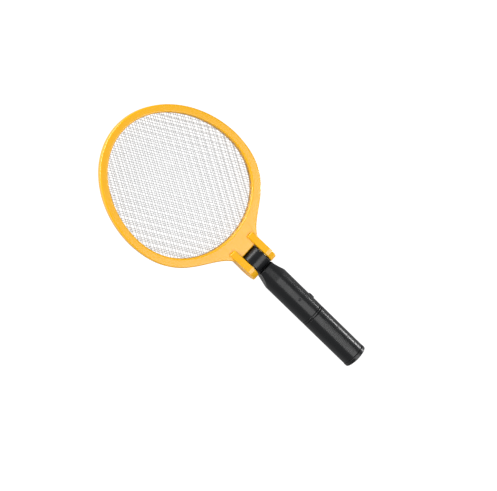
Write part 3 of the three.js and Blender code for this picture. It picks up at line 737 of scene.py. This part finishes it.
def screw_mesh(head_radius, length):
    """A pan-head screw with a cross recess, its head's top at z = 0 and pointing down to z = -length."""
    rise = SCREW_HEAD_HEIGHT
    profile = [
        (0, 0),
        (head_radius * 0.55, -0.05),
        (head_radius, -rise * 0.6, 0.6),
        (head_radius, -rise, 0.15),
        (SCREW_RADIUS, -rise),
        (SCREW_RADIUS, SCREW_RADIUS - length),
        (0, -length),
    ]
    screw = turned("screw", "z", profile, sides=40)
    wide = head_radius * CROSS_LENGTH
    thin = head_radius * CROSS_WIDTH
    for half_x, half_y in ((wide, thin), (thin, wide)):
        combine(screw, "DIFFERENCE", block((-half_x, -half_y, -rise / 2), (half_x, half_y, 1)))
    return soften(screw)


def place_screws(label, body, seat, head_radius, length, places):
    """Screws put in from the rear, with their heads on the seat, each turned a little further."""
    mesh = screw_mesh(head_radius, length)
    top = seat - GAP - SCREW_HEAD_HEIGHT
    upside_down = Matrix.Translation(HINGE) @ Matrix.Rotation(pi, 4, "X")
    for i, (x, y) in enumerate(places):
        screw = copy_of(mesh, "screw")
        turn = Matrix.Rotation(SCREW_TURN * i, 4, "Z")
        screw.data.transform(upside_down @ turn @ Matrix.Translation(-HINGE))
        screw.data.transform(Matrix.Translation(Vector((x, y, top)) * MM))
        number = str(i + 1)
        place(screw, "cross_" + label + number, body, "plated_steel", label + number)
    bpy.data.objects.remove(mesh)


def build_screws():
    round_rim = [oval_point(angle, SCREW_MARGIN) for angle in SCREW_ANGLES]
    place_screws("frame_screw_", "head", SCREW_SEAT, SCREW_HEAD_RADIUS, SCREW_LENGTH, round_rim)
    down_handle = [(0, -y) for y in HOUSING_SCREWS]
    place_screws(
        "housing_screw_",
        "handle",
        HOUSING_SCREW_SEAT,
        HOUSING_HEAD_RADIUS,
        HOUSING_SCREW_LENGTH,
        down_handle,
    )


# ---------------------------------------------------------------- handle


def handle_plan():
    """The round body's plan, pared down to the neck by a slightly hollow cut on each side."""
    wide = HANDLE_RADIUS + 1
    mid_x = NECK_HALF_WIDTH + NECK_BULGE
    mid_y = -(NECK_STRAIGHT_END + SHOULDER) / 2
    steps = 24
    right = [(wide, -HANDLE_END), (wide, -SHOULDER - 0.5), (HANDLE_RADIUS, -SHOULDER)]
    for i in range(1, steps + 1):
        t = i / steps
        x = HANDLE_RADIUS * (1 - t) ** 2 + 2 * mid_x * t * (1 - t) + NECK_HALF_WIDTH * t * t
        y = -SHOULDER * (1 - t) ** 2 + 2 * mid_y * t * (1 - t) - NECK_STRAIGHT_END * t * t
        right.append((x, y))
    right.append((NECK_HALF_WIDTH, 0))
    return right + [(-x, y) for x, y in reversed(right)]


def housing_casing():
    body = turned(
        "body",
        "y",
        [
            (0, -HOUSING_END),
            (HANDLE_RADIUS, -HOUSING_END, RING_FILLET),
            (HANDLE_RADIUS, -SHOULDER, 1.5),
            (NECK_RADIUS, -NECK_START, 0.6),
            (0, -NECK_START),
        ],
        sides=HANDLE_ROUND,
    )
    far = HANDLE_RADIUS + 1
    plan = loft("plan", [[(x, y, z) for x, y in handle_plan()] for z in (-far, far)])
    combine(body, "INTERSECT", plan)
    end = BARREL_HALF_WIDTH
    web = block((-end, -NECK_START - 1, -WEB_HALF_HEIGHT), (end, 0, WEB_HALF_HEIGHT))
    barrel = turned(
        "barrel",
        "x",
        [(0, -end), (BARREL_RADIUS, -end, 1.4), (BARREL_RADIUS, end, 1.4), (0, end)],
        sides=HANDLE_ROUND,
    )
    cavity = rod("y", HOUSING_BORE, -SPIGOT_START - 1, -CAVITY_START, sides=HANDLE_ROUND)
    for y in HOUSING_SCREWS:
        boss = rod("z", HOUSING_BOSS_RADIUS, -HANDLE_RADIUS, HANDLE_RADIUS, (0, -y, 0))
        combine(cavity, "DIFFERENCE", boss)
    combine(body, "UNION", web, barrel)
    combine(
        body,
        "DIFFERENCE",
        cavity,
        rod("y", SOCKET_BORE, -HOUSING_END - 1, -SPIGOT_START + GAP, sides=HANDLE_ROUND),
        rod("x", BOLT_BORE, -EAR_GAP, EAR_GAP),
        rod("x", BUTTON_RADIUS + GAP, 0, HANDLE_RADIUS + 1, (0, -BUTTON_CENTRE, 0)),
    )
    return body


def build_housing():
    front = housing_casing()
    rear = copy_of(front, "rear")
    far = 2 * HANDLE_END
    combine(front, "INTERSECT", block((-far, -far, PARTING), (far, far, far)))
    light_hole = rod("z", LIGHT_RADIUS + GAP, 5, HANDLE_RADIUS + 1, (0, -LIGHT_CENTRE, 0), SMALL_ROUND)
    combine(front, "DIFFERENCE", light_hole)
    combine(rear, "INTERSECT", block((-far, -far, -far), (far, far, -PARTING)))
    for y in HOUSING_SCREWS:
        radius = HOUSING_HEAD_RADIUS + GAP
        well = rod("z", radius, -HANDLE_RADIUS - 1, HOUSING_SCREW_SEAT, (0, -y, 0), SMALL_ROUND)
        combine(rear, "DIFFERENCE", well)
    place(soften(front), "front_housing_shell", "handle", "black_plastic", "front_housing")
    place(soften(rear), "rear_housing_shell", "handle", "black_plastic", "rear_housing")


def build_collar():
    inner = SPIGOT_RADIUS + GAP
    near = -HOUSING_END - GAP
    far = near - COLLAR_LENGTH + GAP
    profile = [
        (inner, far),
        (HANDLE_RADIUS, far, RING_FILLET),
        (HANDLE_RADIUS, near, RING_FILLET),
        (inner, near),
    ]
    collar = turned("collar", "y", profile, sides=HANDLE_ROUND, closed=True)
    place(soften(collar), "collar", "handle", "black_plastic", "collar_ring")


def rib(y):
    """A low bar across the grip's top, following its curve."""
    steps = 16
    loops = []
    for height, short in ((-RIB_ROOT, 0), (0, 0), (RIB_HEIGHT, RIB_SLOPE)):
        radius = HANDLE_RADIUS + height
        ring = []
        for edge, way in ((y + short, 1), (y + RIB_LENGTH - short, -1)):
            for i in range(steps + 1):
                angle = way * RIB_HALF_TURN * (1 - short / RIB_TAPER) * (2 * i / steps - 1)
                ring.append((radius * sin(angle), -edge, radius * cos(angle)))
        loops.append(ring)
    return loft("rib", loops)


def build_grip():
    bayonet = SOCKET_BORE + GAP
    socket_floor = TUBE_END - TUBE_SOCKET
    profile = [
        (bayonet, -TUBE_END),
        (HANDLE_RADIUS, -TUBE_END, RING_FILLET),
        (HANDLE_RADIUS, -TUBE_START, RING_FILLET),
        (SPIGOT_RADIUS, -TUBE_START),
        (SPIGOT_RADIUS, -SPIGOT_START),
        (TUBE_BORE, -SPIGOT_START),
        (TUBE_BORE, -socket_floor),
        (bayonet, -socket_floor),
    ]
    tube = turned("tube", "y", profile, sides=HANDLE_ROUND, closed=True)
    for i in range(RIB_COUNT):
        combine(tube, "UNION", rib(RIB_START + RIB_PITCH * i))
    place(soften(tube), "grip", "handle", "black_plastic", "grip_tube")


def build_end_cap():
    start = TUBE_END + CAP_CLEARANCE
    skirt_top = TUBE_END - CAP_SKIRT
    hub_top = CARRIER_START + CAP_HUB_CLEARANCE
    profile = [
        (0, -HANDLE_END),
        (CAP_RADIUS, -HANDLE_END, 1.8),
        (CAP_RADIUS, -start, RING_FILLET),
        (SOCKET_BORE, -start),
        (SOCKET_BORE, -skirt_top),
        (CARRIER_RADIUS, -skirt_top),
        (CARRIER_RADIUS, -start),
        (HUB_RADIUS, -start),
        (HUB_RADIUS, -hub_top),
        (0, -hub_top),
    ]
    cap = turned("cap", "y", profile, sides=HANDLE_ROUND)
    place(soften(cap), "battery_cap", "cap", "black_plastic", "end_cap")


def build_button():
    at = (0, -BUTTON_CENTRE, 0)
    profile = [
        (0, FLANGE_BACK),
        (FLANGE_RADIUS, FLANGE_BACK, 0.3),
        (FLANGE_RADIUS, FLANGE_FRONT, 0.3),
        (BUTTON_RADIUS, FLANGE_FRONT),
        (BUTTON_RADIUS, BUTTON_FACE - 0.5, 1.2),
        (BUTTON_RADIUS * 0.4, BUTTON_FACE - 0.05),
        (0, BUTTON_FACE),
    ]
    button = turned("button", "x", profile, at, 48)
    place(soften(button), "button", "button", "button_plastic", "push_button")


def build_light():
    top = HANDLE_RADIUS
    profile = [
        (0, LIGHT_FOOT),
        (LIGHT_RADIUS, LIGHT_FOOT, 0.2),
        (LIGHT_RADIUS, top - 0.5, 0.2),
        (LIGHT_RADIUS * 0.75, top - 0.1, 0.4),
        (LIGHT_RADIUS * 0.35, top + 0.2),
        (0, top + 0.25),
    ]
    light = turned("light", "z", profile, (0, -LIGHT_CENTRE, 0), SMALL_ROUND)
    place(soften(light), "indicator", "handle", "lens", "indicator_light")


# ---------------------------------------------------------------- camera, floor and light

CAMERA_DISTANCE = 2500
CAMERA_TILT = radians(11.39)  # towards the head's far end
CAMERA_SIDE = radians(8.21)  # towards -X
CAMERA_ROLL = radians(4.6)
PICTURE_TURN = radians(50.36)
SENSOR = 36
FOCAL_LENGTH = 132.2655936
AIM = Vector((0, 37.75, 0))
AIM_RIGHT = 16.5  # how far right of the aim the view's centre lies, and below
AIM_DOWN = 6.5

WORLD_LIGHT = 0.2
BACKDROP = 1.0  # the world as the camera sees it
FLOOR_GLOW = 1.04
FLOOR_GLOW_MIRRORED = 0.3  # the floor as shiny surfaces see it
FLOOR_REACH = 4  # metres


def build_camera():
    level = cos(CAMERA_TILT)
    toward = Vector((-sin(CAMERA_SIDE) * level, sin(CAMERA_TILT), cos(CAMERA_SIDE) * level))
    toward.normalize()
    up = (Vector((0, 1, 0)) - toward * toward.y).normalized()
    right = up.cross(toward)
    for turn in (CAMERA_ROLL, -PICTURE_TURN):
        right, up = right * cos(turn) + up * sin(turn), up * cos(turn) - right * sin(turn)
    centre = AIM + right * AIM_RIGHT - up * AIM_DOWN
    data = bpy.data.cameras.new("camera")
    data.sensor_width = SENSOR
    data.lens = FOCAL_LENGTH
    data.clip_end = 100
    camera = bpy.data.objects.new("camera", data)
    bpy.context.scene.collection.objects.link(camera)
    matrix = Matrix((right, up, toward)).transposed().to_4x4()
    matrix.translation = HINGE + (centre + toward * CAMERA_DISTANCE) * MM
    camera.matrix_world = matrix
    bpy.context.scene.camera = camera


def softbox(name, width, depth, at, turn, radiance):
    """A rectangular light, `at` metres from the hinge, that faces straight down before it is turned."""
    data = bpy.data.lights.new(name, "AREA")
    data.shape = "RECTANGLE"
    data.size = width
    data.size_y = depth
    data.energy = radiance * pi * width * depth
    light = bpy.data.objects.new(name, data)
    bpy.context.scene.collection.objects.link(light)
    light.location = HINGE + Vector(at)
    light.rotation_euler = turn
    light.visible_camera = False


def build_lights():
    softbox("key", 3, 3.18, (0.2, -2.01, 3), (0, 0, 0), 3.7)
    softbox("far_end", 4, 1.6, (-1.2, 3.6, 1.2), (radians(-72), 0, radians(15)), 10.5)
    softbox("strip", 0.12, 0.6, (0.9, -0.66, 0.09), (0, radians(90), 0), 36)
    world = bpy.data.worlds.new("studio")
    bpy.context.scene.world = world
    world.use_nodes = True
    nodes = world.node_tree.nodes
    background = nodes["Background"]
    background.inputs["Color"].default_value = (1, 1, 1, 1)
    path = nodes.new("ShaderNodeLightPath")
    level = nodes.new("ShaderNodeMapRange")
    level.inputs["To Min"].default_value = WORLD_LIGHT
    level.inputs["To Max"].default_value = BACKDROP
    world.node_tree.links.new(path.outputs["Is Camera Ray"], level.inputs["Value"])
    world.node_tree.links.new(level.outputs[0], background.inputs["Strength"])
    bpy.context.scene.view_settings.view_transform = "Standard"


def build_floor():
    far = FLOOR_REACH
    square = [(-far, -far, 0), (far, -far, 0), (far, far, 0), (-far, far, 0)]
    mesh = bpy.data.meshes.new("floor")
    mesh.from_pydata(square, [], [(0, 1, 2, 3)])
    floor = bpy.data.objects.new("floor", mesh)
    bpy.context.scene.collection.objects.link(floor)
    nodes = moulded("floor", (0.1, 0.1, 0.1, 1), 0.9, 0.001, 0.2, 0.005)
    nodes.shader.inputs["Emission Color"].default_value = (1, 1, 1, 1)
    glossy = nodes.add("LightPath").outputs["Is Glossy Ray"]
    glow = nodes.ramp(glossy, FLOOR_GLOW, FLOOR_GLOW_MIRRORED)
    nodes.put(nodes.shader.inputs["Emission Strength"], glow)
    mesh.materials.append(nodes.material)


# ---------------------------------------------------------------- the scene

finish_cad_nodes()
build_frames()
build_grids()
build_spacers()
build_ear_caps()
build_screws()
build_housing()
build_collar()
build_grip()
build_end_cap()
build_button()
build_light()
build_camera()
build_lights()
build_floor()


def corners(box):
    return [[float(value) for value in corner] for corner in box]
